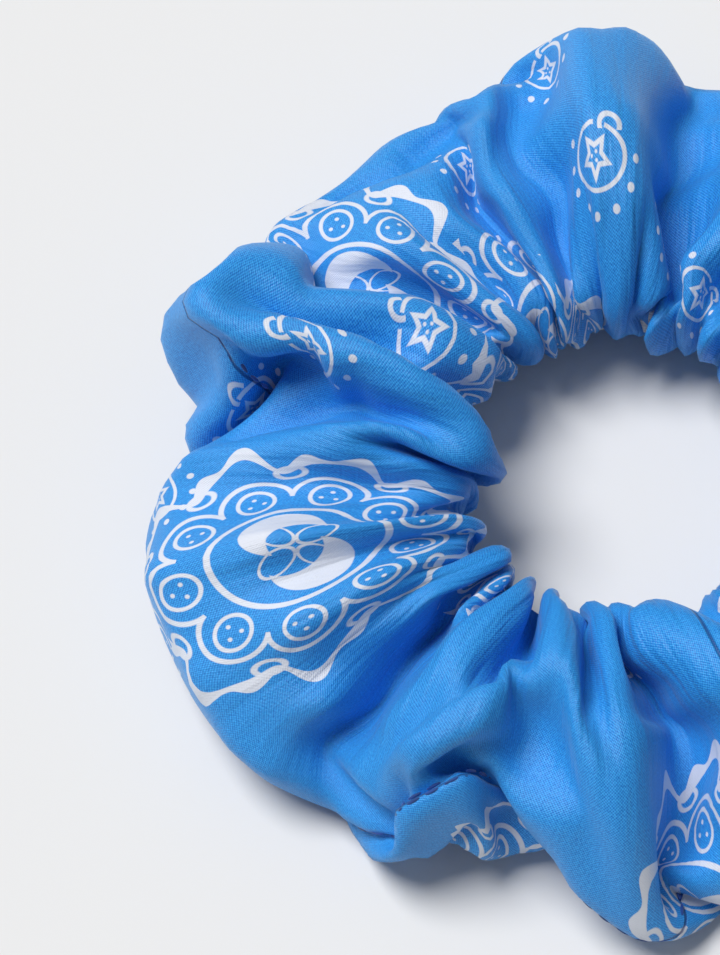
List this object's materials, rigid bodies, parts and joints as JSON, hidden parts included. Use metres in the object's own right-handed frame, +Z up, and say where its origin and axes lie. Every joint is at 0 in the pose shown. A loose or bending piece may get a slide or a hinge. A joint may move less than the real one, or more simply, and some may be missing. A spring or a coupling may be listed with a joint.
{
  "type": "scrunchie",
  "caption": "Gathered satin fabric ring over a hidden elastic loop, with an outer seam, for holding hair.",
  "frame": {"origin": "centre of the hair hole, on the surface that the ring lies on", "axes": "+Z up out of the surface, along the hair hole; +X the way the ring pulls open; the closing seam is at 72 degrees below +X, towards -Y"},
  "size_m": [0.116, 0.116, 0.03],
  "materials": {
    "satin": "blue woven satin with an off-white print",
    "seam_thread": "blue polyester sewing thread",
    "elastic": "white braided elastic",
    "tack_thread": "white polyester sewing thread"
  },
  "bodies": {
    "left_half": {"cover_left": "satin", "outer_seam_needle_thread_left": "seam_thread", "outer_seam_bobbin_thread_left": "seam_thread", "elastic_left": "elastic"},
    "right_half": {"cover_right": "satin", "outer_seam_needle_thread_right": "seam_thread", "outer_seam_bobbin_thread_right": "seam_thread", "closing_seam_needle_thread": "seam_thread", "closing_seam_bobbin_thread": "seam_thread", "elastic_right": "elastic", "elastic_tack_thread": "tack_thread"}
  },
  "joints": [
    {"name": "stretch", "type": "slide", "parent": "left_half", "child": "right_half", "axis": [1, 0, 0], "range_m": [0, 0.075], "stiffness_N_per_m": 65}
  ]
}
